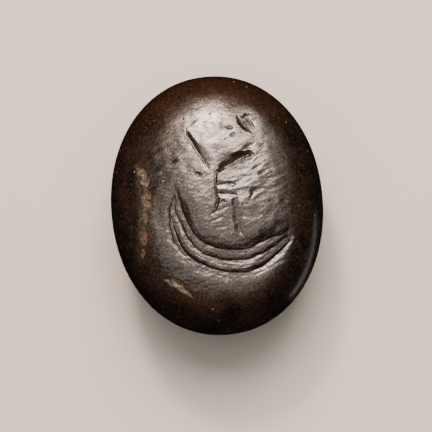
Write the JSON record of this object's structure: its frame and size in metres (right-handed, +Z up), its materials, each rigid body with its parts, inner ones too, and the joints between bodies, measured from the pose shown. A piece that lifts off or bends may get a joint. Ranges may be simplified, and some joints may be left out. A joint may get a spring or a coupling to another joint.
{
  "type": "stamp seal",
  "caption": "Oval domed bead of dark haematite with a flattened face cut with a forked banded device over a crescent, drilled across for a cord.",
  "frame": {"origin": "on the surface the seal lies on, under the middle of the stone", "axes": "+Z up through the engraved face, +Y along the oval's length towards the fork of the device, +X across the stone along the cord hole"},
  "size_m": [0.0142, 0.0174, 0.0104],
  "materials": {
    "haematite": "worn soft polish, steel grey sheen over dark red brown, rougher where chipped"
  },
  "bodies": {
    "root": {"seal_stone": "haematite"}
  },
  "joints": []
}
